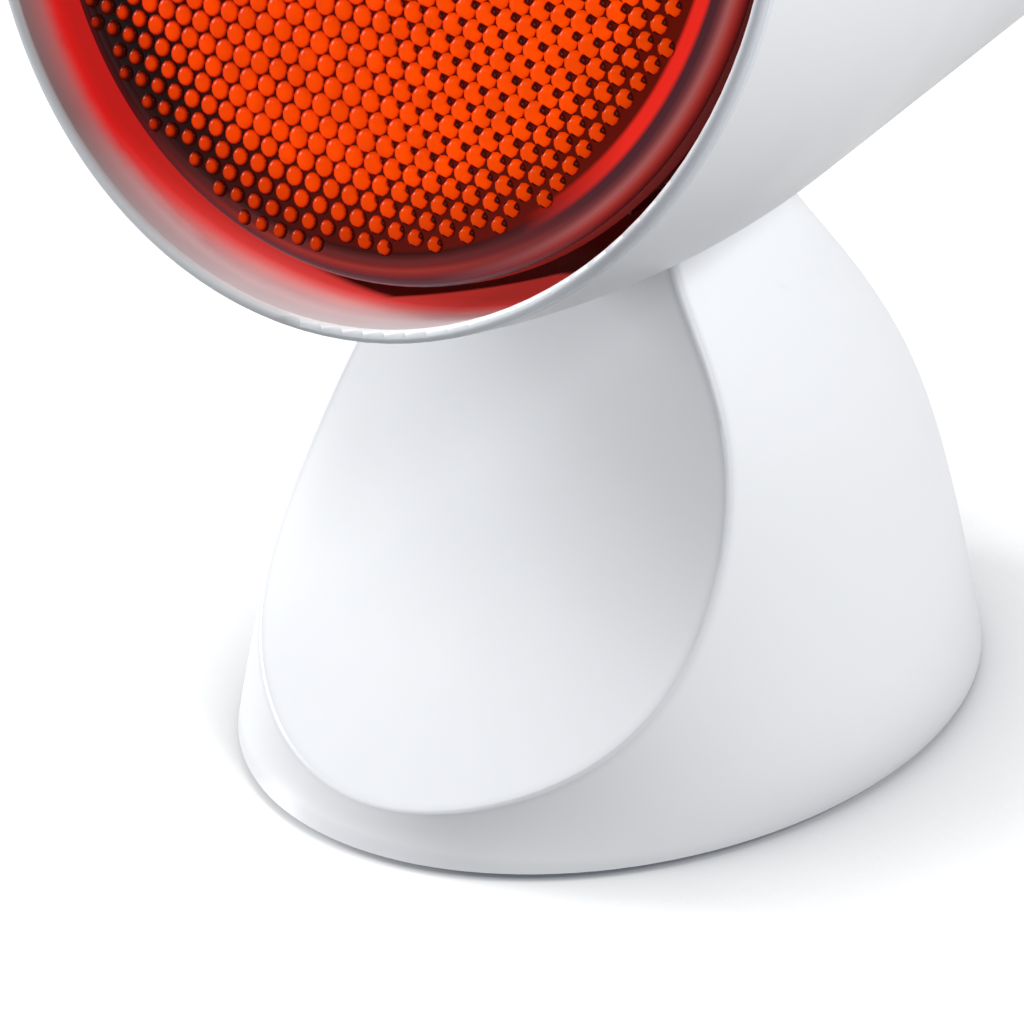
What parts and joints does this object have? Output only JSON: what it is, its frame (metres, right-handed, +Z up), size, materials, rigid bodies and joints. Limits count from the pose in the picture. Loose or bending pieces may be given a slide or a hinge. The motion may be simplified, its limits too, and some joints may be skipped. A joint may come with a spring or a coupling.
{
  "type": "infrared heat therapy lamp",
  "caption": "Tabletop infrared lamp with a bell-shaped shade over a red beaded reflector bulb, tilting on a hollow stand with a scooped front.",
  "frame": {"origin": "on the floor, under the middle of the whole lamp's bounding box", "axes": "+Z up, the lamp shines towards -Y and its switch and cable inlet face +Y"},
  "size_m": [0.136, 0.1803, 0.2183],
  "materials": {
    "stand_white": "satin moulded",
    "shade_white": "satin moulded",
    "switch_white": "gloss moulded",
    "base_grey": "fine grained",
    "black_plastic": "fine grained",
    "natural_plastic": "plain moulded",
    "foot_rubber": "matt",
    "black_rubber": "matt",
    "zinc_steel": "zinc plated",
    "tungsten": "drawn wire",
    "brass": "stamped",
    "nickel_brass": "nickel plated",
    "aluminium": "spun",
    "red_glass": "pressed beads",
    "mirrored_glass": "silvered inside",
    "black_glass": "gloss",
    "porcelain": "glazed"
  },
  "bodies": {
    "stand": {"stand_shell": "stand_white", "base_plate": "base_grey", "rubber_feet": "foot_rubber", "base_screws": "zinc_steel", "cord_grommet": "black_rubber", "terminal_block": "natural_plastic", "terminal_screws": "brass", "switch_housing": "black_plastic", "switch_terminals": "brass", "tilt_yoke": "zinc_steel", "yoke_screws": "zinc_steel", "tilt_bolt": "zinc_steel", "tilt_nut": "zinc_steel", "spring_washer": "zinc_steel", "friction_washers": "natural_plastic"},
    "head": {"lamp_shade": "shade_white", "rear_cap": "shade_white", "bulb_lens": "red_glass", "bulb_reflector": "mirrored_glass", "bulb_collar": "aluminium", "bulb_screw_cap": "nickel_brass", "bulb_insulator": "black_glass", "bulb_contact": "nickel_brass", "filament_supports": "zinc_steel", "filament": "tungsten", "lampholder": "porcelain", "holder_sleeve": "brass", "holder_contact": "brass", "holder_bracket": "zinc_steel", "bracket_screws": "zinc_steel", "holder_screws": "zinc_steel", "tilt_tongue": "zinc_steel", "tongue_screws": "zinc_steel"},
    "rocker": {"switch_rocker": "switch_white"}
  },
  "joints": [
    {"name": "head_tilt", "type": "hinge", "parent": "stand", "child": "head", "pos_m": [0, 0.00254, 0.092], "axis": [-1, 0, 0], "range_deg": [0, 30]},
    {"name": "switch_rocker", "type": "hinge", "parent": "stand", "child": "rocker", "pos_m": [0, 0.03475, 0.03526], "axis": [-1, 0, 0], "range_deg": [0, 18]}
  ]
}
